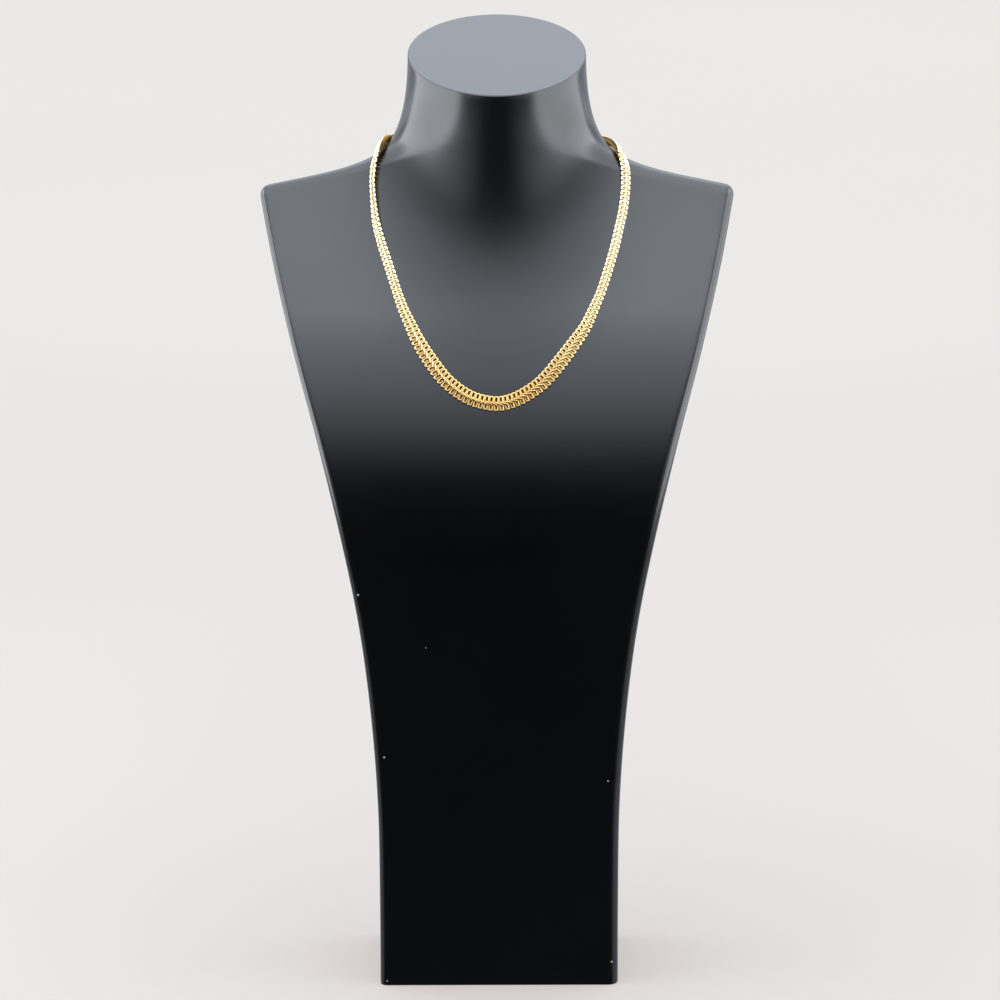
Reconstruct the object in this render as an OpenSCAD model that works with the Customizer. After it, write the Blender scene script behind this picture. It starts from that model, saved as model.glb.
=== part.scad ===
// Graduated chain necklace, fastened round a plain tall neck bust.
// Millimetres. +Z is up, +X is to the right as the bust is faced, and the chest looks towards -Y.
// The origin is on the surface that the base stands on, under the middle of the whole object.

/* [Bust] */
// How far the front of the base stands forward of the origin
front_reach = 57; // [56:0.1:58]
// Depth of the base, front to back
base_depth = 68; // [62:1:76]
// Height at which the upright front starts to curve back into the chest
chest_start = 188; // [180:1:196]
// Radius of the chest's curve, seen from the side
chest_radius = 262; // [240:1:280]
// Lean of the upper chest away from the upright, in degrees
chest_lean = 24; // [20:0.5:26]
// How far the middle of the back stands behind the back of the base, at the nape
nape_reach = 39; // [34:1:42]
// How far the back falls away from its middle towards the shoulder blades
back_crown = 42; // [36:1:44]
// Rounding of the upright edge on the left as the bust is faced
edge_radius_left = 2.8; // [2:0.1:5]
// Rounding of the upright edge on the right as the bust is faced
edge_radius_right = 4.3; // [3:0.1:5]

/* [Shoulders] */
// Height at which the two shoulder lines would meet on the middle plane
shoulder_peak = 364.9; // [363:0.1:366]
// Fall of the shoulder line for each millimetre outwards
shoulder_fall = 0.218; // [0.2:0.002:0.23]
// Fall of the shoulder's top for each millimetre to the rear
shoulder_rake = 0.35; // [0.3:0.01:0.4]
// Rounding along the shoulder line
shoulder_radius = 4.5; // [4:0.1:5]

/* [Neck] */
// Radius of the round neck
neck_radius = 38; // [37.5:0.1:38.5]
// Height of the middle of the neck's flat top
neck_top = 395.9; // [393:0.1:398]
// Slope of the neck's top down towards the front, in degrees
neck_slant = 17.3; // [12:0.1:18]
// Reach of the hollow curve between the neck and the shoulders
neck_blend = 54; // [50:1:56]
// Reach of that hollow curve at the middle of the front
neck_blend_front = 30; // [26:1:40]
// Rounding round the rim of the neck's top
rim_radius = 0.5; // [0.4:0.1:1.2]

/* [Necklace] */
// Width of the chain at the middle of the front
chain_width_front = 6.8; // [6.4:0.1:7.2]
// Width of the chain beside the clasp
chain_width_back = 4.3; // [4:0.1:4.5]
// Thickness of the chain at the middle of the front
chain_thick_front = 2.2; // [2:0.1:2.3]
// Thickness of the chain beside the clasp
chain_thick_back = 1.7; // [1.6:0.1:1.8]
// Distance from one cross link to the next along the chain
link_pitch = 2.12; // [2.1:0.01:2.3]
// Air between the chain and the bust
chain_gap = 0.3; // [0.25:0.05:0.4]

/* [Clasp] */
// Width of the clasp
clasp_width = 5.4; // [5:0.1:6]
// Thickness of the clasp
clasp_thick = 3; // [2.6:0.1:3.2]
// Air between the clasp's end and the chain's end
clasp_gap = 0.2; // [0.15:0.05:0.3]

/* [Hidden] */

lacquer_black = [0.05, 0.05, 0.055];
yellow_gold = [0.86, 0.68, 0.33];

// Half width of the body over its height
ROW_Z = 0;
ROW_HALF = 1;
body_rows = [
    [0, 51.4],
    [40, 51.4],
    [80, 51.9],
    [120, 54.5],
    [160, 59.3],
    [200, 66.9],
    [240, 76.4],
    [280, 87.2],
    [320, 96.8],
    [360, 103.5]
];

// The chain's middle line, from the clasp round the left, the front and the right back to the clasp.
// Each row is a point across, forward of the neck's axis, and up, with the roll of the chain there.
PT_ROLL = 3;
clasp_bay = 6;
route_rows = [
    [clasp_bay, -41, 359, 0],
    [-clasp_bay, -41, 359, 0],
    [-20, -36, 358.4, 0],
    [-34, -25.5, 357.6, 0],
    [-42, -15, 357.2, 0],
    [-45.8, -6, 357.3, 12],
    [-47.2, 2, 357.9, 22],
    [-48.5, 10, 358.6, 27],
    [-49.4, 17.6, 358, 30],
    [-51, 23.6, 356, 38],
    [-52.4, 26.9, 352.3, 46],
    [-53, 28.8, 348.4, 50],
    [-53.1, 30.3, 344.4, 51],
    [-52.5, 33.6, 336.3, 46],
    [-51.5, 36.4, 329.5, 32],
    [-49.2, 40, 321.4, 16],
    [-46.3, 43.5, 313.2, 7],
    [-41, 50, 298.2, 2],
    [-37.3, 53.3, 290.2, 0],
    [-33.1, 56.5, 282, 0],
    [-27.6, 59.4, 273.8, 0],
    [-20.9, 62, 265.9, 0],
    [-11.3, 63.8, 259.5, 0],
    [-0.6, 64.5, 257.2, 0],
    [7.9, 64, 259.1, 0],
    [16.1, 62.8, 263.8, 0],
    [21, 61.6, 268.1, 0],
    [26.8, 59.4, 274.8, 0],
    [32.2, 56.7, 281.6, 0],
    [37.2, 54.3, 288.5, 0],
    [41.2, 50.7, 296.5, 0],
    [44.6, 47.4, 304, 0],
    [49.6, 40.8, 319.1, 0],
    [51.7, 37.2, 327.2, 0],
    [53.5, 33.9, 334.7, 0],
    [54.7, 30, 344.3, 2],
    [54.4, 26.2, 352.2, 7],
    [53.1, 22, 355.7, 14],
    [51.9, 16, 356.9, 21],
    [50.6, 8, 357, 24],
    [48.9, -2, 356.6, 22],
    [45.8, -11, 356.3, 12],
    [41, -18.5, 356.5, 0],
    [33, -27.5, 357.4, 0],
    [20, -36, 358.4, 0],
    [clasp_bay, -41, 359, 0],
    [-clasp_bay, -41, 359, 0]
];

// The neck's axis, and how far in front of it the shoulder line runs
neck_y = 71 - front_reach;
shoulder_line_y = 24;
chest_arc_top = chest_radius * sin(chest_lean);
// Heights between which the back swells out, and over which its sides fall away
back_start = 110;
back_end = 362;
back_fall_height = 220;

// A smooth step from 0 to 1
function ease(t) = let(c = min(max(t, 0), 1)) c * c * (3 - 2 * c);

// Largest and least of two distances, with a round or a soft corner between them
function round_max(a, b, r) = min(-r, max(a, b)) + norm([max(a + r, 0), max(b + r, 0)]);
function soft_min(a, b, k) = let(h = max(k - abs(a - b), 0) / k) min(a, b) - h * h * h * k / 6;

// Half width of the body at a height, on a smooth curve through the rows
row_step = body_rows[1][ROW_Z];
function row_half(i) = body_rows[min(max(i, 0), len(body_rows) - 1)][ROW_HALF];
function half_width(z) =
    let(
        u = min(max(z / row_step, 0), len(body_rows) - 1),
        i = min(floor(u), len(body_rows) - 2),
        t = u - i,
        a = row_half(i),
        b = row_half(i + 1),
        ma = (b - row_half(i - 1)) / 2,
        mb = (row_half(i + 2) - a) / 2
    )
    a + t * (ma + t * (3 * (b - a) - 2 * ma - mb + t * (2 * (a - b) + ma + mb)));

// The front and the back of the body on its middle plane
function chest_line(z) =
    let(
        rise = z - chest_start,
        u = min(max(rise, 0), chest_arc_top)
    )
    chest_radius - sqrt(chest_radius * chest_radius - u * u)
        + max(rise - chest_arc_top, 0) * tan(chest_lean) - front_reach;
function chest_cos(z) = cos(asin(min(max(z - chest_start, 0), chest_arc_top) / chest_radius));
function back_line(z) =
    base_depth - front_reach + nape_reach * ease((z - back_start) / (back_end - back_start));

// Signed distance, near enough, from the bust's surface: below zero inside
function bust_field(p) =
    let(
        across = abs(p.x),
        edge = p.x < 0 ? edge_radius_left : edge_radius_right,
        w = half_width(p.z),
        q = across / w,
        back_mid = back_line(p.z),
        fall = ease((p.z - back_start) / back_fall_height) * back_crown * 2 * q * q / (1 + q * q),
        front = (chest_line(p.z) - p.y) * chest_cos(p.z),
        back = (p.y - back_mid + fall) * 0.96,
        side = (across - w) * 0.975,
        top = (p.z - shoulder_peak + shoulder_fall * across
            + shoulder_rake * (p.y - neck_y + shoulder_line_y)) * 0.92,
        body = round_max(max(front, back), round_max(side, top, shoulder_radius), edge),
        sunk = max(neck_top - 120 - p.z, 0),
        r = max(neck_radius - sunk * sunk / 160, 6),
        dy = p.y - neck_y,
        ry = dy > 0 ? max(back_mid - 1 - neck_y, 8) : r,
        low = max(neck_top - 140 - p.z, 0),
        neck = (norm([p.x / r, dy / ry]) - 1) * r + low * low / 150,
        sideways = dy < 0 ? p.x * p.x / max(p.x * p.x + dy * dy, 0.01) : 1
    )
    soft_min(neck, body, neck_blend_front + (neck_blend - neck_blend_front) * sideways);

// Gradient of that distance, and the pull of a point onto the surface at a given offset
slope_step = 0.05;
function bust_slope(p) =
    [for (k = [0:2])
        let(d = [for (j = [0:2]) j == k ? slope_step : 0])
        (bust_field(p + d) - bust_field(p - d)) / (2 * slope_step)];
function seat(p, offset, turns = 4) =
    turns == 0 ? p :
    let(g = bust_slope(p))
    seat(p - g * (bust_field(p) - offset) / (g * g), offset, turns - 1);

// Distance along a ray from inside the bust to its surface, less an inset, by halving
function reach(start, way, inset, near = 0, far = 140, turns = 17) =
    let(mid = (near + far) / 2)
    turns == 0 ? mid :
    bust_field(start + way * mid) < -inset
        ? reach(start, way, inset, mid, far, turns - 1)
        : reach(start, way, inset, near, mid, turns - 1);

// The point inside each section that its rays leave from
function core_y(z) =
    let(
        low = base_depth / 2 - front_reach,
        chest = chest_line(z) + 9,
        up = ease((z - 150) / 200),
        neck = ease((z - 350) / 30)
    )
    (low * (1 - up) + chest * up) * (1 - neck) + neck_y * neck;

// Rough outline of a section's front or back: half width of its corners, their distance from the
// core, and that of its middle. The shoulder's sloping top cuts the half width short, and the neck
// makes it round.
function shoulder_half(z, y) =
    (shoulder_peak - z - shoulder_rake * (y - neck_y + shoulder_line_y)) / shoulder_fall;
function outline(z, corner_y, middle_y) =
    let(
        up = ease((z - 350) / 14),
        round_corner = neck_radius * sqrt(0.5),
        depth = abs(corner_y - core_y(z))
    )
    [
        max(min(half_width(z), shoulder_half(z, corner_y)), round_corner),
        max(depth, 6) * (1 - up) + round_corner * up,
        max(abs(middle_y - core_y(z)), depth)
    ];
function front_outline(z) =
    outline(z, chest_line(z), min(chest_line(z), neck_y - neck_radius));
function back_outline(z) =
    outline(z, back_line(z) - ease((z - back_start) / back_fall_height) * back_crown,
        max(back_line(z), neck_y + neck_radius * ease((z - 330) / 30)));

// Sections of the bust: height on the neck's axis, and inset
function step_rows(from, to, step) = [for (z = [from:step:to]) [z, 0]];
rim_steps = 3;
function rim_rows() =
    [for (i = [0:rim_steps])
        let(a = 90 * i / rim_steps)
        [neck_top - rim_radius + rim_radius * sin(a), rim_radius * (1 - cos(a))]];
foot_chamfer = 0.8;
bust_rows = concat(
    [[0, foot_chamfer], [foot_chamfer, 0]],
    step_rows(40, 180, 28),
    step_rows(188, 296, 9),
    step_rows(301, 333, 2.9),
    step_rows(335, 362, 1.17),
    step_rows(365, 390, 4),
    rim_rows()
);
// One section: rays from the core, closest together towards the corners and in the front half
slant_start = 364;
back_sides = 24;
front_sides = 38;
corner_pull = 4;
fan_turns = concat(
    [for (i = [0:back_sides - 1]) 180 * i / back_sides],
    [for (i = [0:front_sides - 1]) 180 + 180 * i / front_sides]
);
function section(row) =
    let(
        z = row[0],
        full = neck_top - rim_radius - slant_start,
        rise = tan(neck_slant) * min(max((z - slant_start) / full, 0), 1),
        cy = core_y(z),
        front = front_outline(z),
        back = back_outline(z),
        start = [0, cy, z + rise * (cy - neck_y)]
    )
    [for (turn = fan_turns)
        let(
            a = turn + corner_pull * sin(4 * turn),
            larger = max(abs(cos(a)), abs(sin(a))),
            u = cos(a) / larger,
            v = sin(a) / larger,
            o = v < 0 ? front : back,
            d = [o[0] * u, v * (o[1] + (o[2] - o[1]) * (1 - u * u))],
            way = [d.x, d.y, rise * d.y] / norm(d)
        )
        start + way * reach(start, way, row[1])];

// A closed solid through rings of points, each ring with the same count
module skin(rings) {
    n = len(rings[0]);
    last = len(rings) - 1;
    polyhedron(
        points = [for (r = rings) each r],
        faces = concat(
            [[for (i = [0:n - 1]) i]],
            [for (k = [0:last - 1]) for (i = [0:n - 1])
                let(j = (i + 1) % n)
                each [
                    [k * n + i, k * n + n + i, k * n + n + j],
                    [k * n + i, k * n + n + j, k * n + j]
                ]],
            [[for (i = [n - 1:-1:0]) last * n + i]]
        ),
        convexity = 6
    );
}

// The chain's middle line: a smooth curve through the rows, seated on the bust
spans = len(route_rows) - 3;
span_steps = 6;
function row_point(i) =
    let(r = route_rows[i])
    [r.x, neck_y - r.y, r.z, r[PT_ROLL]];
function curve(i, t) =
    let(
        a = row_point(i - 1),
        b = row_point(i),
        c = row_point(i + 1),
        d = row_point(i + 2),
        m = (c - a) / 2,
        n = (d - b) / 2
    )
    b + t * (m + t * (3 * (c - b) - 2 * m - n + t * (2 * (b - c) + m + n)));
seat_height = chain_gap + chain_thick_front / 2;
raw_line = concat(
    [for (i = [1:spans]) for (k = [0:span_steps - 1]) curve(i, k / span_steps)],
    [curve(spans, 1)]
);
seated_line = [for (q = raw_line)
    let(p = seat([q.x, q.y, q.z], seat_height))
    [p.x, p.y, p.z, q[PT_ROLL]]];

// Running length along the line, and the point at a given length
function place(q) = [q.x, q.y, q.z];
function run(line, i = 0, sum = 0) =
    i >= len(line) - 1 ? [sum] :
    concat([sum], run(line, i + 1, sum + norm(place(line[i + 1]) - place(line[i]))));
line_run = run(seated_line);
line_length = line_run[len(line_run) - 1];
function find(s, low, high) =
    high - low <= 1 ? low :
    let(mid = floor((low + high) / 2))
    line_run[mid] <= s ? find(s, mid, high) : find(s, low, mid);
function along(s) =
    let(
        c = min(max(s, 0), line_length),
        i = find(c, 0, len(line_run) - 1),
        t = (s - line_run[i]) / (line_run[i + 1] - line_run[i])
    )
    seated_line[i] * (1 - t) + seated_line[i + 1] * t;

// Width and thickness of the chain at a given length: full over a stretch at each side of the
// front's middle, then slimmer over the next stretch, and even from there to the clasp
full_length = 31;
grade_length = 40;
function grade(s) = ease((full_length + grade_length - abs(s - line_length / 2)) / grade_length);
function chain_width(s) = chain_width_back + (chain_width_front - chain_width_back) * grade(s);
function chain_thick(s) = chain_thick_back + (chain_thick_front - chain_thick_back) * grade(s);

// Outline of the band across the chain, as shares of its width and thickness: two edge rows of
// cross links with the raised row of small rings between them
band_shape = [
    [-0.44, 0.02],
    [-0.22, 0.18],
    [0, 0.5],
    [0.22, 0.18],
    [0.44, 0.02],
    [0.5, -0.24],
    [0.42, -0.5],
    [-0.42, -0.5],
    [-0.5, -0.24]
];
// Between two cross links the band draws in at its edges and its face
waist_width = 0.93;
waist_thick = 0.8;
function unit(v) = v / norm(v);
function band_ring(s, waist) =
    let(
        q = along(s),
        p = place(q),
        t = unit(place(along(s + link_pitch / 2)) - place(along(s - link_pitch / 2))),
        g = unit(bust_slope(p)),
        up = unit(g - t * (g * t)),
        out = cross(t, up),
        roll = q[PT_ROLL],
        n = up * cos(roll) + out * sin(roll),
        b = out * cos(roll) - up * sin(roll),
        w = chain_width(s),
        h = chain_thick(s),
        lift = w / 2 * abs(sin(roll)) + (h - chain_thick_front) / 2,
        mid = p + up * lift
    )
    [for (c = band_shape)
        mid + b * c.x * w * (waist ? waist_width : 1)
            + n * h * (waist && c.y > 0 ? c.y * waist_thick : c.y)];

module neck_bust() {
    color(lacquer_black)
        skin([for (row = bust_rows) section(row)]);
}

// The woven band of cross links and rings, one ring of points at each link and one between
module chain() {
    stations = floor(line_length / link_pitch) * 2;
    color(yellow_gold)
        skin([for (i = [0:stations])
            band_ring(line_length * i / stations, i % 2 == 1)]);
}

// A plain box clasp on the nape, with a collar at each end for the chain
collar_length = 1.6;
clasp_corner = 1.2;
// How far the chain's slanting ends reach into the bay that is kept for the clasp
end_slant = 0.4;
module clasp_plate(length, width, thick) {
    translate([0, 0, -thick / 2])
        linear_extrude(thick)
            hull()
                for (x = [-1, 1], y = [-1, 1])
                    translate([x * (length / 2 - clasp_corner), y * (width / 2 - clasp_corner)])
                        circle(clasp_corner, $fn = 16);
}
module clasp() {
    length = 2 * (clasp_bay - end_slant - clasp_gap);
    seat_point = seat([0, neck_y + neck_radius + 3, route_rows[0].z], chain_gap + clasp_thick / 2);
    outward = unit(bust_slope(seat_point));
    color(yellow_gold)
        translate(seat_point)
            rotate([-atan2(outward.y, outward.z), 0, 0]) {
                clasp_plate(length - 2 * collar_length, clasp_width, clasp_thick);
                cube([length, chain_width_back, chain_thick_back], center = true);
            }
}

neck_bust();
chain();
clasp();
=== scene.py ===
"""Looks of the graduated chain necklace on its plain black neck bust.

Sizes are in millimetres, and the bust's form and the chain's route repeat the named sizes of the
part's source. The heights and depths that finishes turn over, and the studio, are in metres.
"""

import math
import random
from collections import namedtuple

import bmesh
import bpy
import numpy as np
from mathutils import Matrix, Vector


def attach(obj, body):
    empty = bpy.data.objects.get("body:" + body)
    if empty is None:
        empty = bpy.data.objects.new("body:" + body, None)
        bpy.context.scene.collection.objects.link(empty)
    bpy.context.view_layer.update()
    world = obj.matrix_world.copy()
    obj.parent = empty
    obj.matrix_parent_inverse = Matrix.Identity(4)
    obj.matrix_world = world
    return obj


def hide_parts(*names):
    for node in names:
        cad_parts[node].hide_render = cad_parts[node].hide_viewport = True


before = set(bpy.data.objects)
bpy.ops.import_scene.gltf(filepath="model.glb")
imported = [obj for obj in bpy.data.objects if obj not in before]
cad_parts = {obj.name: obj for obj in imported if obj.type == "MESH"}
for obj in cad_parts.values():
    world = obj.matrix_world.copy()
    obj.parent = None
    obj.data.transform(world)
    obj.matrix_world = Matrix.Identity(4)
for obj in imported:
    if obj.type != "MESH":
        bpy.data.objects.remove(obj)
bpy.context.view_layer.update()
MM = 0.001

# Camera, with the view that was fitted to the photograph in its own pixels
PHOTO_PIXELS = 1000.0
AIM_COLUMN = 498.0
AIM_ROW = 494.9
FOCAL_PIXELS = 5311.8
SENSOR_WIDTH = 36.0
CAMERA_DISTANCE = 2300.0
CAMERA_RISE = math.radians(14.5)
CAMERA_ROLL = -0.0027
AIM = Vector((0.0, -2.0, 205.0))

# Bust
FRONT_REACH = 57.0
BASE_DEPTH = 68.0
CHEST_START = 188.0
CHEST_RADIUS = 262.0
CHEST_LEAN = math.radians(24.0)
CHEST_ARC_TOP = CHEST_RADIUS * math.sin(CHEST_LEAN)
NAPE_REACH = 39.0
BACK_CROWN = 42.0
EDGE_RADIUS_LEFT = 2.8
EDGE_RADIUS_RIGHT = 4.3
FOOT_RADIUS = 0.8
# Half widths of the body, one for each step of height
BODY_STEP = 40.0
BODY_HALF = np.array([51.4, 51.4, 51.9, 54.5, 59.3, 66.9, 76.4, 87.2, 96.8, 103.5])

# Shoulders
SHOULDER_PEAK = 364.9
SHOULDER_FALL = 0.218
SHOULDER_RAKE = 0.35
SHOULDER_RADIUS = 4.5
SHOULDER_LINE_Y = 24.0

# Neck
NECK_Y = 71.0 - FRONT_REACH
NECK_RADIUS = 38.0
NECK_TOP = 395.9
NECK_SLANT = math.radians(17.3)
SLANT_START = 364.0
NECK_BLEND = 54.0
NECK_BLEND_FRONT = 30.0
RIM_RADIUS = 0.5
# Inside the chest, the depths under its top at which the neck starts to narrow and to fade out, how
# gently it does so, and its least radius
NARROW_DEPTH = 120.0
NARROW_EASE = 160.0
FADE_DEPTH = 140.0
FADE_EASE = 150.0
LEAST_RADIUS = 6.0
# Behind its axis the neck reaches to just inside the back, and at least so far
NAPE_INSET = 1.0
LEAST_NAPE = 8.0
# Least square of a distance from the axis, which keeps a division there from failing
LEAST_SQUARE = 0.01

# Steepness of the body's back, sides and top, which makes the field there near enough a distance
BACK_STEEPNESS = 0.96
SIDE_STEEPNESS = 0.975
TOP_STEEPNESS = 0.92

# Stretches of height over which one form turns into another: where each starts, and its length
BACK_SWELL = (110.0, 252.0)
BACK_FALL = (110.0, 220.0)
CORE_TO_CHEST = (150.0, 200.0)
CORE_TO_NECK = (350.0, 30.0)
BACK_TO_NECK = (330.0, 30.0)
CORNERS_TO_NECK = (350.0, 14.0)

# Sections of the bust: first and last height and count of each stretch, closest at the shoulders
SECTION_STRETCHES = [
    (6.0, 184.0, 30),
    (188.0, 328.0, 48),
    (330.0, 363.5, 68),
    (365.0, 392.0, 18),
]
FOOT_SECTIONS = 5
RIM_SECTIONS = 7
BACK_SIDES = 84
FRONT_SIDES = 120
CORNER_PULL = math.radians(10.5)
# Distance of the sections' core behind the chest, and its least distance from a corner
CORE_DEPTH = 9.0
LEAST_DEPTH = 6.0
# Width of the rim of the faces that close the foot and the neck's top
CAP_INSET = 0.4

# Accuracy of the search for the surface
SLOPE_STEP = 0.05
SEAT_TURNS = 4
LONGEST_RAY = 140.0
RAY_HALVINGS = 22

# Chain. It is full over a stretch at each side of the front's middle, and slims over the next.
WIDTH_FRONT = 6.8
WIDTH_BACK = 4.3
THICK_FRONT = 2.2
THICK_BACK = 1.7
LINK_PITCH = 2.12
CHAIN_GAP = 0.3
FULL_LENGTH = 31.0
GRADE_LENGTH = 40.0
# Half the room that the route leaves for the clasp
CLASP_BAY = 6.0
# Points of the chain's line for each span of its route
SPAN_STEPS = 6
# The chain's route: across, forward of the neck's axis, up, and roll of the chain in degrees
ROUTE = [
    (CLASP_BAY, -41, 359, 0),
    (-CLASP_BAY, -41, 359, 0),
    (-20, -36, 358.4, 0),
    (-34, -25.5, 357.6, 0),
    (-42, -15, 357.2, 0),
    (-45.8, -6, 357.3, 12),
    (-47.2, 2, 357.9, 22),
    (-48.5, 10, 358.6, 27),
    (-49.4, 17.6, 358, 30),
    (-51, 23.6, 356, 38),
    (-52.4, 26.9, 352.3, 46),
    (-53, 28.8, 348.4, 50),
    (-53.1, 30.3, 344.4, 51),
    (-52.5, 33.6, 336.3, 46),
    (-51.5, 36.4, 329.5, 32),
    (-49.2, 40, 321.4, 16),
    (-46.3, 43.5, 313.2, 7),
    (-41, 50, 298.2, 2),
    (-37.3, 53.3, 290.2, 0),
    (-33.1, 56.5, 282, 0),
    (-27.6, 59.4, 273.8, 0),
    (-20.9, 62, 265.9, 0),
    (-11.3, 63.8, 259.5, 0),
    (-0.6, 64.5, 257.2, 0),
    (7.9, 64, 259.1, 0),
    (16.1, 62.8, 263.8, 0),
    (21, 61.6, 268.1, 0),
    (26.8, 59.4, 274.8, 0),
    (32.2, 56.7, 281.6, 0),
    (37.2, 54.3, 288.5, 0),
    (41.2, 50.7, 296.5, 0),
    (44.6, 47.4, 304, 0),
    (49.6, 40.8, 319.1, 0),
    (51.7, 37.2, 327.2, 0),
    (53.5, 33.9, 334.7, 0),
    (54.7, 30, 344.3, 2),
    (54.4, 26.2, 352.2, 7),
    (53.1, 22, 355.7, 14),
    (51.9, 16, 356.9, 21),
    (50.6, 8, 357, 24),
    (48.9, -2, 356.6, 22),
    (45.8, -11, 356.3, 12),
    (41, -18.5, 356.5, 0),
    (33, -27.5, 357.4, 0),
    (20, -36, 358.4, 0),
    (CLASP_BAY, -41, 359, 0),
    (-CLASP_BAY, -41, 359, 0),
]

# The round ring that every link is drawn out from
RING_RADIUS = 0.6
RING_STEPS = 12
RING_SIDES = 6
WELD_DISTANCE = 0.001
# Blunt ends have this share of a round end's depth, and stout ends this multiple of the wire
BLUNT_END = 0.4
BLUNT_END_FRONT = 0.75
STOUT_END = 1.5

# Cross links: wire, how far their ends bow down as a share of the room under them, and how
# unevenly they lie, as an angle
CROSS_WIRE = 0.35
CROSS_WIRE_FRONT = 0.33
CROSS_BOW = 0.4
CROSS_TILT = 0.012

# Links close under them: wire, its height as a share of that, half the size of their opening along
# the chain, how much narrower than the chain they are, and their shift outwards at the front
UNDER_WIRE = 0.5
UNDER_FLAT = 0.6
UNDER_HALF = 0.33
UNDER_NARROWER = 0.5
UNDER_SHIFT = 0.35

# Rings of the raised inner edge: wire, place in from the edge, and the least rise that gets one
EDGE_WIRE = 0.45
EDGE_INSET = 0.7
EDGE_LEAST_RISE = 1.8

# Rings of the raised middle: wire, half length, lean, and how unevenly they lie, as an angle
MIDDLE_WIRE = 0.44
MIDDLE_WIRE_FRONT = 0.42
MIDDLE_HALF = 1.45
MIDDLE_HALF_FRONT = 1.9
MIDDLE_LEAN = math.radians(12.0)
MIDDLE_LEAN_FRONT = math.radians(24.0)
MIDDLE_TILT = 0.02
CHANCE_SEED = 17

# Clasp, with the rounding of its plate's and its collars' edges and the steps of that
END_SLANT = 0.4
CLASP_GAP = 0.2
CLASP_WIDTH = 5.4
CLASP_THICK = 3.0
COLLAR_LENGTH = 1.6
PLATE_ROUNDING = (0.7, 4)
COLLAR_ROUNDING = (0.35, 3)
# Where the search for its seat starts, behind the neck
SEAT_START = 3.0


# The bust's surface, as a field that is below zero inside


def ease(t):
    """A smooth step from 0 to 1."""
    t = np.clip(t, 0.0, 1.0)
    return t * t * (3.0 - 2.0 * t)


def ease_over(z, stretch):
    start, length = stretch
    return ease((z - start) / length)


def between(share, low, high):
    return low + (high - low) * share


def unit(v):
    return v / np.linalg.norm(v)


def round_max(a, b, radius):
    corner = np.hypot(np.maximum(a + radius, 0.0), np.maximum(b + radius, 0.0))
    return np.minimum(-radius, np.maximum(a, b)) + corner


def soft_min(a, b, reach):
    h = np.maximum(reach - np.abs(a - b), 0.0) / reach
    return np.minimum(a, b) - h**3 * reach / 6.0


def smooth_run(before, a, b, after, t):
    """A smooth curve from a to b that takes its directions from the points before and after."""
    ma = (b - before) / 2.0
    mb = (after - a) / 2.0
    return a + t * (ma + t * (3.0 * (b - a) - 2.0 * ma - mb + t * (2.0 * (a - b) + ma + mb)))


def half_width(z):
    last = len(BODY_HALF) - 1
    u = np.clip(z / BODY_STEP, 0.0, last)
    i = np.minimum(np.floor(u).astype(int), last - 1)
    return smooth_run(*(BODY_HALF[np.clip(i + k, 0, last)] for k in (-1, 0, 1, 2)), u - i)


def chest_line(z):
    rise = z - CHEST_START
    u = np.clip(rise, 0.0, CHEST_ARC_TOP)
    above = np.maximum(rise - CHEST_ARC_TOP, 0.0) * math.tan(CHEST_LEAN)
    return CHEST_RADIUS - np.sqrt(CHEST_RADIUS**2 - u * u) + above - FRONT_REACH


def chest_cos(z):
    u = np.clip(z - CHEST_START, 0.0, CHEST_ARC_TOP)
    return np.sqrt(1.0 - (u / CHEST_RADIUS) ** 2)


def back_line(z):
    return BASE_DEPTH - FRONT_REACH + NAPE_REACH * ease_over(z, BACK_SWELL)


def back_fall(z):
    return ease_over(z, BACK_FALL) * BACK_CROWN


def shoulder_rake(y):
    return SHOULDER_RAKE * (y - NECK_Y + SHOULDER_LINE_Y)


def body_field(x, y, z, edge):
    """The body without its neck, at a distance x from the middle plane."""
    w = half_width(z)
    q2 = (x / w) ** 2
    front = (chest_line(z) - y) * chest_cos(z)
    back = (y - back_line(z) + back_fall(z) * 2.0 * q2 / (1.0 + q2)) * BACK_STEEPNESS
    side = (x - w) * SIDE_STEEPNESS
    top = (z - SHOULDER_PEAK + SHOULDER_FALL * x + shoulder_rake(y)) * TOP_STEEPNESS
    ends = round_max(side, top, SHOULDER_RADIUS)
    return round_max(np.maximum(front, back), ends, edge)


def neck_field(x, dy, z):
    """The neck, at a distance dy behind its axis."""
    narrow = np.maximum(NECK_TOP - NARROW_DEPTH - z, 0.0)
    r = np.maximum(NECK_RADIUS - narrow**2 / NARROW_EASE, LEAST_RADIUS)
    ry = np.where(dy > 0.0, np.maximum(back_line(z) - NAPE_INSET - NECK_Y, LEAST_NAPE), r)
    fade = np.maximum(NECK_TOP - FADE_DEPTH - z, 0.0)
    return (np.hypot(x / r, dy / ry) - 1.0) * r + fade**2 / FADE_EASE


def bust_field(p):
    x, y, z = np.abs(p[..., 0]), p[..., 1], p[..., 2]
    edge = np.where(p[..., 0] < 0.0, EDGE_RADIUS_LEFT, EDGE_RADIUS_RIGHT)
    dy = y - NECK_Y
    sideways = np.where(dy < 0.0, x * x / np.maximum(x * x + dy * dy, LEAST_SQUARE), 1.0)
    blend = between(sideways, NECK_BLEND_FRONT, NECK_BLEND)
    return soft_min(neck_field(x, dy, z), body_field(x, y, z, edge), blend)


def bust_slope(p):
    sides = np.eye(3) * SLOPE_STEP
    slopes = [(bust_field(p + d) - bust_field(p - d)) / (2.0 * SLOPE_STEP) for d in sides]
    return np.stack(slopes, axis=-1)


def seat(p, offset):
    """Pulls points to the given offset from the bust's surface."""
    for _ in range(SEAT_TURNS):
        g = bust_slope(p)
        p = p - g * ((bust_field(p) - offset) / (g * g).sum(-1))[..., None]
    return p


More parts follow.
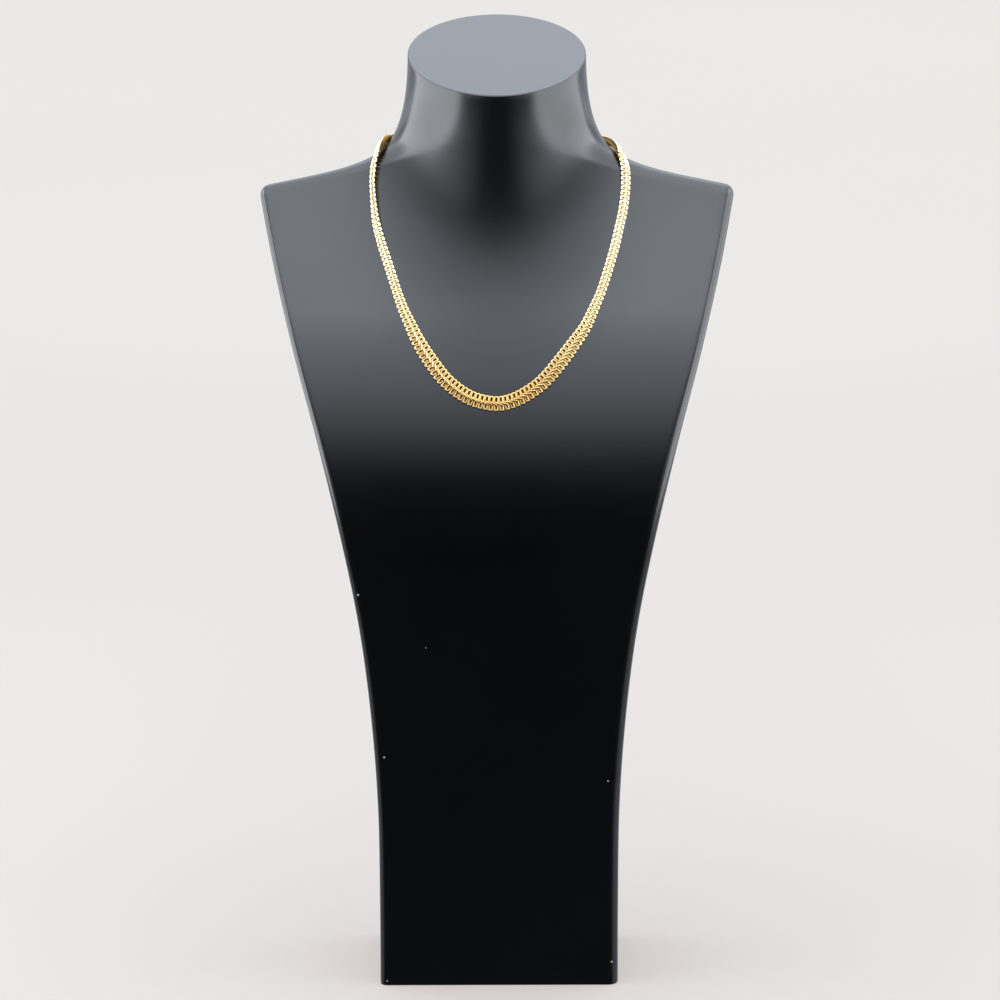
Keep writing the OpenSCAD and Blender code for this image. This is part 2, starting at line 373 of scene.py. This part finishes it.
def reach(start, way, inset):
    """Distances along rays from inside the bust to its surface, less an inset, by halving."""
    near = np.zeros(len(start))
    far = np.full(len(start), LONGEST_RAY)
    for _ in range(RAY_HALVINGS):
        mid = (near + far) / 2.0
        inside = bust_field(start + way * mid[:, None]) < -inset
        near = np.where(inside, mid, near)
        far = np.where(inside, far, mid)
    return (near + far) / 2.0


# The bust's sections: rays from a core, closest together towards the corners


def core_y(z):
    low = BASE_DEPTH / 2.0 - FRONT_REACH
    up = ease_over(z, CORE_TO_CHEST)
    neck = ease_over(z, CORE_TO_NECK)
    return (low * (1.0 - up) + (chest_line(z) + CORE_DEPTH) * up) * (1.0 - neck) + NECK_Y * neck


def outline(z, corner_y, middle_y):
    """Rough half width of a section's corners, and the distances of its corners and its middle from
    the core, at the front or at the back."""
    up = ease_over(z, CORNERS_TO_NECK)
    round_corner = NECK_RADIUS * math.sqrt(0.5)
    depth = np.abs(corner_y - core_y(z))
    shoulder = (SHOULDER_PEAK - z - shoulder_rake(corner_y)) / SHOULDER_FALL
    width = np.maximum(np.minimum(half_width(z), shoulder), round_corner)
    corner = np.maximum(depth, LEAST_DEPTH) * (1.0 - up) + round_corner * up
    return width, corner, np.maximum(np.abs(middle_y - core_y(z)), depth)


def ray_angles():
    back = np.arange(BACK_SIDES) * math.pi / BACK_SIDES
    front = math.pi + np.arange(FRONT_SIDES) * math.pi / FRONT_SIDES
    turn = np.concatenate([back, front])
    return turn + CORNER_PULL * np.sin(4.0 * turn)


def section(z, inset, angles):
    """One closed section of the bust at a height on the neck's axis, as a row of points.

    A ray for each angle runs from the core through a rough outline of the section to the surface,
    and from the shoulders up the section tilts, until it lies as the neck's top does.
    """
    z = np.float64(z)
    full = NECK_TOP - RIM_RADIUS - SLANT_START
    rise = math.tan(NECK_SLANT) * float(np.clip((z - SLANT_START) / full, 0.0, 1.0))
    chest = chest_line(z)
    neck_back = NECK_Y + NECK_RADIUS * ease_over(z, BACK_TO_NECK)
    front = outline(z, chest, np.minimum(chest, NECK_Y - NECK_RADIUS))
    back = outline(z, back_line(z) - back_fall(z), np.maximum(back_line(z), neck_back))
    larger_part = np.maximum(np.abs(np.cos(angles)), np.abs(np.sin(angles)))
    u = np.cos(angles) / larger_part
    v = np.sin(angles) / larger_part
    width, corner, middle = (np.where(v < 0.0, f, b) for f, b in zip(front, back))
    dx = width * u
    dy = v * (corner + (middle - corner) * (1.0 - u * u))
    way = np.stack([dx, dy, rise * dy], axis=-1) / np.hypot(dx, dy)[:, None]
    cy = core_y(z)
    start = np.tile([0.0, cy, z + rise * (cy - NECK_Y)], (len(angles), 1))
    return start + way * reach(start, way, np.full(len(angles), inset))[:, None]


def bust_rows():
    """Heights of the sections, with how far each is drawn in at the foot and at the neck's rim."""
    foot = [(FOOT_RADIUS * (1.0 - math.sin(a)), FOOT_RADIUS * (1.0 - math.cos(a)))
            for a in np.linspace(math.pi / 2.0, 0.0, FOOT_SECTIONS)]
    rim = [(NECK_TOP - RIM_RADIUS * (1.0 - math.sin(a)), RIM_RADIUS * (1.0 - math.cos(a)))
           for a in np.linspace(0.0, math.pi / 2.0, RIM_SECTIONS)]
    heights = np.concatenate([np.linspace(*stretch) for stretch in SECTION_STRETCHES])
    return foot + [(z, 0.0) for z in heights] + rim


def new_mesh(name, bm):
    mesh = bpy.data.meshes.new(name)
    bm.to_mesh(mesh)
    bm.free()
    return mesh


def new_object(name, data):
    made = bpy.data.objects.new(name, data)
    bpy.context.scene.collection.objects.link(made)
    return made


def new_piece(name, bm, material, slot_name, *nodes):
    """Turns a bmesh into a piece of the root body that stands for CAD nodes."""
    mesh = new_mesh(name, bm)
    mesh.shade_smooth()
    mesh.materials.append(material)
    piece = new_object(name, mesh)
    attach(piece, "root")
    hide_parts(*nodes)


def build_bust(material):
    """The bust: one ring of the foot, extruded upwards section by section and closed at both ends."""
    angles = ray_angles()
    rows = bust_rows()
    bm = bmesh.new()
    ring = bmesh.ops.create_circle(bm, cap_ends=False, segments=len(angles), radius=1.0)["verts"]
    ray_of = {v: i for i, v in enumerate(ring)}
    for v, p in zip(ring, section(*rows[0], angles)):
        v.co = Vector(p) * MM
    foot_edges = edges = list(bm.edges)
    for row in rows[1:]:
        points = section(*row, angles)
        grown = bmesh.ops.extrude_edge_only(bm, edges=edges)["geom"]
        ring = [v for v in grown if isinstance(v, bmesh.types.BMVert)]
        edges = [e for e in grown if isinstance(e, bmesh.types.BMEdge)
                 and e.verts[0] not in ray_of and e.verts[1] not in ray_of]
        # Each new corner lies on the ray of the corner that it was extruded from
        grown_ray = {}
        for v in ring:
            below = next(e.other_vert(v) for e in v.link_edges if e.other_vert(v) in ray_of)
            grown_ray[v] = ray_of[below]
            v.co = Vector(points[grown_ray[v]]) * MM
        ray_of = grown_ray
    for loop in (foot_edges, edges):
        cap = bmesh.ops.contextual_create(bm, geom=loop)["faces"]
        bmesh.ops.inset_region(bm, faces=cap, thickness=CAP_INSET * MM)
    bmesh.ops.recalc_face_normals(bm, faces=bm.faces)
    new_piece("display_bust", bm, material, "lacquer", "neck_bust")


# The chain's middle line, seated on the bust


def chain_line():
    rows = np.array([(x, NECK_Y - forward, z, roll) for x, forward, z, roll in ROUTE], float)
    a, b, c, d = rows[:-3], rows[1:-2], rows[2:-1], rows[3:]
    points = [smooth_run(a, b, c, d, t) for t in np.arange(SPAN_STEPS) / SPAN_STEPS]
    line = np.vstack([np.stack(points, axis=1).reshape(-1, 4), c[-1:]])
    line[:, :3] = seat(line[:, :3], CHAIN_GAP + THICK_FRONT / 2.0)
    return line


LINE = chain_line()
LINE_RUN = np.concatenate([[0.0], np.cumsum(np.linalg.norm(np.diff(LINE[:, :3], axis=0), axis=1))])
LINE_LENGTH = LINE_RUN[-1]

# A place on the chain: its middle, its directions along it, outwards across it and off the bust, its
# width and thickness, and its share of the front's full size
Place = namedtuple("Place", "middle along across off width thick front")


def line_point(s):
    return np.array([np.interp(s, LINE_RUN, LINE[:, k]) for k in range(4)])


def chain_place(s):
    """The place at a running length of the chain, lifted where the chain rolls onto its edge."""
    point = line_point(s)
    along = unit(line_point(s + LINK_PITCH / 2.0)[:3] - line_point(s - LINK_PITCH / 2.0)[:3])
    slope = bust_slope(point[:3])
    up = unit(slope - along * (slope @ along))
    out = np.cross(along, up)
    roll = math.radians(point[3])
    off = up * math.cos(roll) + out * math.sin(roll)
    across = out * math.cos(roll) - up * math.sin(roll)
    front = float(ease((FULL_LENGTH + GRADE_LENGTH - abs(s - LINE_LENGTH / 2.0)) / GRADE_LENGTH))
    width = between(front, WIDTH_BACK, WIDTH_FRONT)
    thick = between(front, THICK_BACK, THICK_FRONT)
    lift = width / 2.0 * abs(math.sin(roll)) + (thick - THICK_FRONT) / 2.0
    return Place(point[:3] + up * lift, along, across, off, width, thick, front)


def tilted(place, chance, amount):
    """A place whose directions are turned by small chance angles, as links lie a little unevenly."""
    turn = Matrix.Rotation(chance.gauss(0.0, amount), 3, Vector(place.off))
    rock = Matrix.Rotation(chance.gauss(0.0, amount), 3, Vector(place.across))
    both = np.array(turn @ rock)
    return place._replace(along=both @ place.along, across=both @ place.across, off=both @ place.off)


# Links


def wire_ring(wire):
    """A plain round ring of wire about Z, as a mesh to be copied."""
    bm = bmesh.new()
    bmesh.ops.create_circle(bm, cap_ends=False, segments=RING_SIDES, radius=wire)
    stand = Matrix.Translation((RING_RADIUS, 0.0, 0.0)) @ Matrix.Rotation(math.pi / 2.0, 4, "X")
    bmesh.ops.transform(bm, matrix=stand, verts=bm.verts)
    bmesh.ops.spin(bm, geom=bm.verts[:] + bm.edges[:], cent=(0, 0, 0), axis=(0, 0, 1),
                   angle=2.0 * math.pi, steps=RING_STEPS, use_merge=True)
    bmesh.ops.remove_doubles(bm, verts=bm.verts, dist=WELD_DISTANCE)
    half_step = Matrix.Rotation(math.pi / RING_STEPS, 4, "Z")
    bmesh.ops.transform(bm, matrix=half_step, verts=bm.verts)
    bmesh.ops.recalc_face_normals(bm, faces=bm.faces)
    return new_mesh("ring_pattern", bm)


def signed_power(part, power):
    return math.copysign(abs(part) ** power, part)


def add_ring(bm, pattern, middle, ways, halves, thin, bow=0.0, end=1.0, stout=1.0, flat=1.0):
    """Copies a ring, drawn out to an oval whose wire's middle runs at the given half sizes.

    Its directions are the long one, the short one and its axis. Its wire is thinned, flattened along
    the axis and made stout at the ends. The ends bow down the axis, and are blunt where end is
    below 1.
    """
    long_way, short_way, axis = ways
    half_long, half_short = halves
    start = len(bm.verts)
    bm.from_mesh(pattern)
    bm.verts.ensure_lookup_table()
    depth = RING_RADIUS * end
    power = (1.0 + end) / 2.0
    pull_short = max(half_short - RING_RADIUS, 0.0)
    squeeze = min(half_short / RING_RADIUS, 1.0)
    for v in bm.verts[start:]:
        spoke = Vector((v.co.x, v.co.y))
        wire = (spoke.length - RING_RADIUS) * thin
        way = spoke.normalized()
        x = signed_power(way.x, power) * (depth + wire * stout) + math.copysign(half_long - depth, way.x)
        y = signed_power(way.y, power) * (RING_RADIUS + wire) * squeeze + math.copysign(pull_short, way.y)
        z = v.co.z * thin * flat - bow * (x / half_long) ** 2
        v.co = Vector(middle + long_way * x + short_way * y + axis * z) * MM


def add_cross_link(bm, pattern, place, pitch):
    """A flat oval as wide as the chain, with blunt, stout ends that bow down towards the bust."""
    wire = between(place.front, CROSS_WIRE, CROSS_WIRE_FRONT)
    halves = (place.width / 2.0 - wire * STOUT_END, pitch / 2.0 - wire)
    add_ring(bm, pattern, place.middle, (place.across, place.along, place.off), halves,
             thin=wire / CROSS_WIRE, bow=CROSS_BOW * (place.thick / 2.0 - wire),
             end=between(place.front, BLUNT_END, BLUNT_END_FRONT), stout=STOUT_END)


def add_under_link(bm, pattern, place):
    """A narrower flat link close under a cross link, which closes its opening."""
    drop = place.thick / 2.0 - UNDER_WIRE * UNDER_FLAT
    middle = place.middle - place.off * drop + place.across * UNDER_SHIFT * place.front
    halves = ((place.width - UNDER_NARROWER) / 2.0 - UNDER_WIRE, UNDER_HALF)
    add_ring(bm, pattern, middle, (place.across, place.along, place.off), halves,
             thin=UNDER_WIRE / CROSS_WIRE, end=BLUNT_END, flat=UNDER_FLAT)


def add_edge_ring(bm, pattern, place, pitch):
    """A ring from the chain's inner edge down to the bust, where the chain stands on its outer edge."""
    inner = place.middle - place.across * (place.width / 2.0 - EDGE_INSET)
    slope = bust_slope(inner)
    rise = float(bust_field(inner)) / np.linalg.norm(slope) - CHAIN_GAP
    if rise <= EDGE_LEAST_RISE:
        return
    up = unit(slope)
    slant = unit(place.along - place.across)
    halves = (rise / 2.0 - EDGE_WIRE, pitch / 2.0 - EDGE_WIRE)
    add_ring(bm, pattern, inner - up * rise / 2.0, (up, slant, np.cross(up, slant)), halves,
             thin=EDGE_WIRE / CROSS_WIRE, end=BLUNT_END)


def add_middle_ring(bm, pattern, place):
    """A small upright oval that leans outwards along the chain's raised middle."""
    wire = between(place.front, MIDDLE_WIRE, MIDDLE_WIRE_FRONT)
    angle = between(place.front, MIDDLE_LEAN, MIDDLE_LEAN_FRONT)
    lean = place.along * math.cos(angle) + place.across * math.sin(angle)
    halves = (between(place.front, MIDDLE_HALF, MIDDLE_HALF_FRONT) - wire, place.thick / 2.0 - wire)
    add_ring(bm, pattern, place.middle, (lean, place.off, np.cross(lean, place.off)), halves,
             thin=wire / MIDDLE_WIRE_FRONT)


def build_links(bright, recess_shade, dark):
    """The cross links, the row close under them, the rings of their raised inner edge, and the
    leaning rings of the raised middle."""
    count = round(LINE_LENGTH / LINK_PITCH)
    pitch = LINE_LENGTH / count
    chance = random.Random(CHANCE_SEED)
    cross, under, edge, middle = (bmesh.new() for _ in range(4))
    cross_pattern = wire_ring(CROSS_WIRE)
    middle_pattern = wire_ring(MIDDLE_WIRE_FRONT)
    for i in range(count):
        place = tilted(chain_place((i + 0.5) * pitch), chance, CROSS_TILT)
        add_cross_link(cross, cross_pattern, place, pitch)
        add_under_link(under, cross_pattern, place)
        add_edge_ring(edge, cross_pattern, place, pitch)
    for i in range(1, count):
        place = tilted(chain_place(i * pitch), chance, MIDDLE_TILT)
        add_middle_ring(middle, middle_pattern, place)
    for bm, name, finish in (
        (cross, "cross_links", bright),
        (middle, "middle_rings", bright),
        # the under links in gold darkened as painted shade in the recesses
        (under, "under_links", recess_shade),
        # the edge rings in gold darkened further as painted shade on the inner side
        (edge, "edge_rings", dark),
    ):
        new_piece(name, bm, finish, "gold", "chain")


# Clasp


def rounded_box(bm, size, rounding):
    radius, steps = rounding
    made = bmesh.ops.create_cube(bm, size=1.0)["verts"]
    bmesh.ops.scale(bm, vec=[v * MM for v in size], verts=made)
    edges = list({e for v in made for e in v.link_edges})
    bmesh.ops.bevel(bm, geom=edges, offset=radius * MM, segments=steps, affect="EDGES",
                    profile=0.5, material=-1)


def build_clasp(material):
    """A plain box clasp on the nape, with a flat collar at each end for the chain."""
    length = 2.0 * (CLASP_BAY - END_SLANT - CLASP_GAP)
    behind = np.array([0.0, NECK_Y + NECK_RADIUS + SEAT_START, ROUTE[0][2]])
    middle = seat(behind, CHAIN_GAP + CLASP_THICK / 2.0)
    outward = bust_slope(middle)
    bm = bmesh.new()
    rounded_box(bm, (length - 2.0 * COLLAR_LENGTH, CLASP_WIDTH, CLASP_THICK), PLATE_ROUNDING)
    rounded_box(bm, (length, WIDTH_BACK, THICK_BACK), COLLAR_ROUNDING)
    turn = Matrix.Rotation(-math.atan2(outward[1], outward[2]), 4, "X")
    place = Matrix.Translation(Vector(middle) * MM) @ turn
    bmesh.ops.transform(bm, matrix=place, verts=bm.verts)
    bmesh.ops.recalc_face_normals(bm, faces=bm.faces)
    new_piece("box_clasp", bm, material, "gold", "clasp")


# Nodes that the finishes and the studio are made of


def node(tree, kind, **settings):
    made = tree.nodes.new(kind)
    for name, value in settings.items():
        setattr(made, name, value)
    return made


def coords(tree, kind="Object"):
    return node(tree, "ShaderNodeTexCoord").outputs[kind]


def parts(tree, vector):
    """The X, Y and Z parts of a vector."""
    made = node(tree, "ShaderNodeSeparateXYZ")
    tree.links.new(vector, made.inputs["Vector"])
    return [made.outputs[k] for k in "XYZ"]


def noise(tree, scale, detail):
    made = node(tree, "ShaderNodeTexNoise")
    made.inputs["Scale"].default_value = scale
    made.inputs["Detail"].default_value = detail
    tree.links.new(coords(tree), made.inputs["Vector"])
    return made.outputs["Fac"]


def span(tree, value, limits, results=(0.0, 1.0)):
    """Runs from one result to the other while the value runs between its limits."""
    made = node(tree, "ShaderNodeMapRange", clamp=True)
    for name, number in zip(("From Min", "From Max", "To Min", "To Max"), (*limits, *results)):
        made.inputs[name].default_value = number
    tree.links.new(value, made.inputs["Value"])
    return made.outputs["Result"]


def combined(tree, operation, first, *others):
    """Puts values and plain numbers together, two at a time."""
    total = first
    for other in others:
        made = node(tree, "ShaderNodeMath", operation=operation)
        for socket, value in zip(made.inputs, (total, other)):
            if isinstance(value, float):
                socket.default_value = value
            else:
                tree.links.new(value, socket)
        total = made.outputs["Value"]
    return total


def mix_colour(tree, factor, low, high):
    made = node(tree, "ShaderNodeMix", data_type="RGBA")
    tree.links.new(factor, made.inputs["Factor"])
    colours = [s for s in made.inputs if s.type == "RGBA"]
    for socket, value in zip(colours, (low, high)):
        if isinstance(value, tuple):
            socket.default_value = (*value, 1.0)
        else:
            tree.links.new(value, socket)
    return next(s for s in made.outputs if s.type == "RGBA")


def bump(tree, height, strength, distance):
    made = node(tree, "ShaderNodeBump")
    made.inputs["Strength"].default_value = strength
    made.inputs["Distance"].default_value = distance
    tree.links.new(height, made.inputs["Height"])
    return made.outputs["Normal"]


def new_finish(name):
    material = bpy.data.materials.new(name)
    material.use_nodes = True
    tree = material.node_tree
    return material, tree, tree.nodes["Principled BSDF"]


# Finishes

# The part of a noise's run that a pattern uses, for softer or for stronger patches
SOFT_PATCHES = (0.3, 0.7)
STRONG_PATCHES = (0.35, 0.65)

LACQUER_BLACK = ((0.0002, 0.0002, 0.0002), (0.0005, 0.0005, 0.0006))
LACQUER_GLOSS = (0.17, 0.21)
# From the first of these heights to the second the gloss grows softer, by this much
SOFTER_HEIGHTS = (0.32, 0.355)
SOFTER = 0.04
# Light specks of dust in the lacquer: across, up and radius, in millimetres
SPECKS = [
    (-59.5, 175.5, 0.45),
    (-49.0, 103.4, 0.45),
    (46.8, 92.5, 0.4),
    (-30.9, 152.1, 0.25),
    (48.6, 10.6, 0.45),
    (-48.5, 2.2, 0.35),
]
SPECK_COLOUR = (0.32, 0.32, 0.33)
# A speck is full within the first share of its radius, and gone past the second
SPECK_EDGE = (0.5, 1.2)

# Colours of the gold: the first pair is painted shade at the front of the chain and the second painted
# light at its sides, each pair from its darker to its lighter patches
BRIGHT_GOLD = ((0.74, 0.48, 0.17), (0.84, 0.56, 0.22), (0.97, 0.81, 0.51), (0.985, 0.87, 0.59))
# Under links: gold darkened as painted shade in the chain's recesses, in the same two pairs
RECESS_SHADE_GOLD = ((0.15, 0.062, 0.004), (0.19, 0.085, 0.008), (0.42, 0.27, 0.08), (0.5, 0.34, 0.11))
# Rings of the raised inner edge: gold darkened further as painted shade on the chain's inner side, in the
# same two pairs
EDGE_SHADE_GOLD = ((0.1, 0.045, 0.004), (0.14, 0.065, 0.008), (0.3, 0.18, 0.05), (0.38, 0.24, 0.08))
GOLD_GLOSS = (0.14, 0.26)
# Painted light: the gold turns from its colours of painted shade to those of painted light between these
# heights, and behind the neck's middle most of that painted light goes again
PAINTED_LIGHT_HEIGHTS = (0.257, 0.318)
PAINTED_LIGHT_DEPTHS = (0.012, 0.03)
PAINTED_LIGHT_BEHIND = 0.3


def speck_mask(tree):
    """1 on the specks, which are round as seen from the front."""
    flat = node(tree, "ShaderNodeVectorMath", operation="MULTIPLY")
    flat.inputs[1].default_value = (1.0, 0.0, 1.0)
    tree.links.new(coords(tree), flat.inputs[0])
    dots = []
    for x, z, radius in SPECKS:
        far = node(tree, "ShaderNodeVectorMath", operation="DISTANCE")
        far.inputs[1].default_value = (x * MM, 0.0, z * MM)
        tree.links.new(flat.outputs["Vector"], far.inputs[0])
        edge = [radius * MM * share for share in SPECK_EDGE]
        dots.append(span(tree, far.outputs["Value"], edge, (1.0, 0.0)))
    return combined(tree, "MAXIMUM", *dots)


def lacquer_finish():
    """Black lacquer with a soft gloss, a faint unevenness and a few specks of dust."""
    material, tree, shader = new_finish("black_lacquer")
    cloudy = span(tree, noise(tree, scale=9.0, detail=3.0), SOFT_PATCHES)
    black = mix_colour(tree, cloudy, *LACQUER_BLACK)
    dusty = mix_colour(tree, speck_mask(tree), black, SPECK_COLOUR)
    tree.links.new(dusty, shader.inputs["Base Color"])
    gloss = span(tree, noise(tree, scale=14.0, detail=4.0), SOFT_PATCHES, LACQUER_GLOSS)
    height = parts(tree, coords(tree))[2]
    softer = combined(tree, "ADD", gloss, span(tree, height, SOFTER_HEIGHTS, (0.0, SOFTER)))
    tree.links.new(softer, shader.inputs["Roughness"])
    shader.inputs["IOR"].default_value = 1.5
    shader.inputs["Specular IOR Level"].default_value = 1.0
    ripple = bump(tree, noise(tree, scale=900.0, detail=2.0), strength=0.05, distance=0.0002)
    tree.links.new(ripple, shader.inputs["Normal"])
    return material


def gold_finish(name, colours):
    """Yellow gold with fine rubbing marks, painted shade at the chain's front and painted light at its
    sides.
    """
    material, tree, shader = new_finish(name)
    patch = span(tree, noise(tree, scale=160.0, detail=2.0), STRONG_PATCHES)
    _, depth, height = parts(tree, coords(tree))
    # Share of painted light: none below the first height, full above the second, mostly gone again behind
    # the neck's middle
    painted_light_share = combined(tree, "MULTIPLY", span(tree, height, PAINTED_LIGHT_HEIGHTS),
                     span(tree, depth, PAINTED_LIGHT_DEPTHS, (1.0, PAINTED_LIGHT_BEHIND)))
    # Painted shade for the chain's front, then painted light for its sides
    front_shade = mix_colour(tree, patch, colours[0], colours[1])
    pale = mix_colour(tree, patch, colours[2], colours[3])
    tree.links.new(mix_colour(tree, painted_light_share, front_shade, pale), shader.inputs["Base Color"])
    gloss = span(tree, noise(tree, scale=700.0, detail=3.0), STRONG_PATCHES, GOLD_GLOSS)
    tree.links.new(gloss, shader.inputs["Roughness"])
    shader.inputs["Metallic"].default_value = 1.0
    rubbed = bump(tree, noise(tree, scale=2500.0, detail=2.0), strength=0.12, distance=0.00005)
    tree.links.new(rubbed, shader.inputs["Normal"])
    return material


# Studio

FLOOR_HALF = 9.0
FLOOR_COLOURS = ((0.21, 0.202, 0.192), (0.216, 0.208, 0.198))
# The floor's own light, from near the bust to farther behind it
FLOOR_DEPTHS = (0.1, 1.3)
FLOOR_GLOWS = ((0.35, 0.306, 0.282), (0.455, 0.431, 0.395))

# Soft boxes: size across and up, and place aside, in depth and up
SOFT_BOX_SIZE = (1.0, 0.86)
SOFT_BOX_PLACE = (0.65, -0.1, 0.43)
SOFT_BOX_COLOUR = (0.96, 0.985, 1.05)
LEFT_LEVEL = 2.95
RIGHT_LEVEL = 2.2

# The overhead light: heights of a direction, with the level of the light from there
OVERHEAD_HEIGHTS = (-0.1, 0.9)
OVERHEAD_LEVELS = [
    (0.0, 0.003),
    (0.05, 0.007),
    (0.09, 0.026),
    (0.16, 0.085),
    (0.22, 0.155),
    (0.29, 0.23),
    (0.35, 0.29),
    (0.42, 0.333),
    (0.48, 0.4),
    (0.53, 0.475),
    (0.55, 0.58),
    (0.63, 0.63),
    (0.75, 0.61),
]
STUDIO_LEVEL = 4.0
STUDIO_COLOUR = (0.92, 0.99, 1.09, 1.0)
BACKDROP_COLOUR = (0.832, 0.822, 0.827, 1.0)


def build_floor():
    """A pale matt table top with a faint light of its own, so that shadows on it stay soft."""
    bm = bmesh.new()
    bmesh.ops.create_grid(bm, x_segments=2, y_segments=2, size=FLOOR_HALF)
    floor = new_object("floor", new_mesh("floor", bm))
    material, tree, shader = new_finish("pale_floor")
    patch = span(tree, noise(tree, scale=1.2, detail=2.0), SOFT_PATCHES)
    tree.links.new(mix_colour(tree, patch, *FLOOR_COLOURS), shader.inputs["Base Color"])
    shader.inputs["Roughness"].default_value = 1.0
    shader.inputs["Specular IOR Level"].default_value = 0.0
    farther = span(tree, parts(tree, coords(tree))[1], FLOOR_DEPTHS)
    tree.links.new(mix_colour(tree, farther, *FLOOR_GLOWS), shader.inputs["Emission Color"])
    shader.inputs["Emission Strength"].default_value = 1.0
    floor.data.materials.append(material)
    floor.visible_glossy = False


def soft_box(name, side, level):
    """A tall soft box that stands beside the table and faces across it."""
    data = bpy.data.lights.new(name, "AREA")
    data.shape = "RECTANGLE"
    data.size, data.size_y = SOFT_BOX_SIZE
    data.energy = level * data.size * data.size_y * math.pi
    data.color = SOFT_BOX_COLOUR
    lamp = new_object(name, data)
    aside, depth, up = SOFT_BOX_PLACE
    turn = Matrix(((0.0, side, 0.0), (0.0, 0.0, 1.0), (side, 0.0, 0.0))).transposed()
    lamp.matrix_world = Matrix.Translation((side * aside, depth, up)) @ turn.to_4x4()
    lamp.visible_camera = False


def level_ramp(tree, height, heights, levels):
    """A run of light levels over a direction's height."""
    ramp = node(tree, "ShaderNodeValToRGB")
    tree.links.new(span(tree, height, heights), ramp.inputs["Fac"])
    low, high = heights
    elements = ramp.color_ramp.elements
    while len(elements) < len(levels):
        elements.new(0.5)
    for element, (at, level) in zip(elements, levels):
        element.position = (at - low) / (high - low)
        element.color = (level, level, level, 1.0)
    return ramp.outputs["Color"]


def studio_level(tree):
    """Level of the studio's light over its direction: the brightest of its lights there."""
    x, y, z = parts(tree, coords(tree, "Generated"))
    absolute = node(tree, "ShaderNodeMath", operation="ABSOLUTE")
    tree.links.new(x, absolute.inputs[0])
    sideways = absolute.outputs["Value"]

    overhead = combined(
        tree, "MULTIPLY",
        level_ramp(tree, z, OVERHEAD_HEIGHTS, OVERHEAD_LEVELS),
        span(tree, sideways, (0.3, 0.5), (1.0, 0.75)),
        span(tree, y, (-0.1, 0.6), (1.0, 1.07)),
    )
    table_sides = combined(
        tree, "MULTIPLY",
        span(tree, sideways, (0.6, 0.97), (0.005, 0.13)),
        span(tree, z, (-0.1, 0.1), (1.0, 0.0)),
    )
    behind = combined(
        tree, "MULTIPLY",
        span(tree, y, (0.2, 0.55), (0.0, 0.16)),
        span(tree, z, (0.4, 0.6), (1.0, 0.0)),
    )
    side_walls = combined(
        tree, "MULTIPLY",
        span(tree, sideways, (0.2, 0.7), (0.0, 0.3)),
        span(tree, sideways, (0.75, 0.95), (1.0, 0.3)),
        span(tree, z, (-0.2, -0.02), (0.0, 1.0)),
        span(tree, z, (0.1, 0.25), (1.0, 0.35)),
    )
    low_front = span(tree, z, (-0.34, -0.24), (0.011, 0.003))
    brightest = combined(tree, "MAXIMUM", overhead, table_sides, behind, side_walls, low_front)
    return combined(tree, "MULTIPLY", brightest, STUDIO_LEVEL)


def build_studio():
    """A broad soft light overhead, soft boxes at both sides, and a dark room low in front."""
    soft_box("left_soft_box", -1.0, LEFT_LEVEL)
    soft_box("right_soft_box", 1.0, RIGHT_LEVEL)
    world = bpy.data.worlds.new("studio")
    bpy.context.scene.world = world
    world.use_nodes = True
    tree = world.node_tree
    background = tree.nodes["Background"]
    tree.links.new(studio_level(tree), background.inputs["Strength"])
    background.inputs["Color"].default_value = STUDIO_COLOUR
    backdrop = node(tree, "ShaderNodeBackground")
    backdrop.inputs["Color"].default_value = BACKDROP_COLOUR
    seen = node(tree, "ShaderNodeLightPath")
    either = node(tree, "ShaderNodeMixShader")
    tree.links.new(seen.outputs["Is Camera Ray"], either.inputs["Fac"])
    tree.links.new(background.outputs["Background"], either.inputs[1])
    tree.links.new(backdrop.outputs["Background"], either.inputs[2])
    tree.links.new(either.outputs["Shader"], tree.nodes["World Output"].inputs["Surface"])


def build_camera():
    data = bpy.data.cameras.new("camera")
    data.sensor_fit = "HORIZONTAL"
    data.sensor_width = SENSOR_WIDTH
    data.lens = FOCAL_PIXELS * SENSOR_WIDTH / PHOTO_PIXELS
    data.shift_x = (PHOTO_PIXELS / 2.0 - AIM_COLUMN) / PHOTO_PIXELS
    data.shift_y = (AIM_ROW - PHOTO_PIXELS / 2.0) / PHOTO_PIXELS
    data.clip_start = 0.05
    data.clip_end = 50.0
    camera = new_object("camera", data)
    back = Vector((0.0, -math.cos(CAMERA_RISE), math.sin(CAMERA_RISE)))
    right = Vector((1.0, 0.0, 0.0))
    up = back.cross(right)
    turn = Matrix((right, up, back)).transposed() @ Matrix.Rotation(CAMERA_ROLL, 3, "Z")
    camera.matrix_world = Matrix.Translation((AIM + back * CAMERA_DISTANCE) * MM) @ turn.to_4x4()
    bpy.context.scene.camera = camera


build_camera()
lacquer = lacquer_finish()
gold = gold_finish("yellow_gold", BRIGHT_GOLD)
build_bust(lacquer)
build_links(gold, gold_finish("recess_shade_gold", RECESS_SHADE_GOLD), gold_finish("edge_shade_gold", EDGE_SHADE_GOLD))
build_clasp(gold)
build_floor()
build_studio()
bpy.context.scene.view_settings.view_transform = "Standard"
